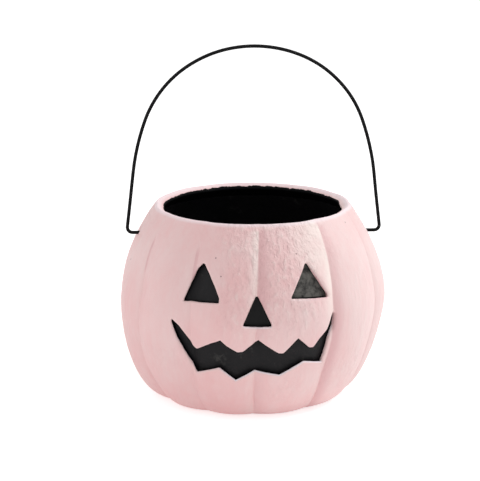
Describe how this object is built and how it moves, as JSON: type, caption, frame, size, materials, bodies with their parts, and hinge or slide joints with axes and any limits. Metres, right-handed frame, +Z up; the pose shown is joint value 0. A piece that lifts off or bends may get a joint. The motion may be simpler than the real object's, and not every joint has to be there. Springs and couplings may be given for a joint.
{
  "type": "halloween bucket",
  "caption": "Lobed pumpkin bucket with a cut-out jack-o'-lantern face, a black lining and a swinging wire bail.",
  "frame": {"origin": "bottom centre of the bucket, on the surface that it stands on", "axes": "+Z up, the face looks along -Y, the bail's hinge runs along X"},
  "size_m": [0.2135, 0.213, 0.2833],
  "materials": {
    "pink_paint": "matte brushed paint over moulded paper pulp, pale pink with lighter and darker strokes",
    "black_paint": "dull black paint over paper pulp, ragged at its top edge",
    "black_wire": "satin black coated steel wire"
  },
  "bodies": {
    "bucket": {"pulp_shell": "pink_paint", "black_lining": "black_paint"},
    "bail": {"wire_bail": "black_wire"}
  },
  "joints": [
    {"name": "bail_swing", "type": "hinge", "parent": "bucket", "child": "bail", "pos_m": [0, 0, 0.1315], "axis": [1, 0, 0], "range_deg": [-117, 117]}
  ]
}
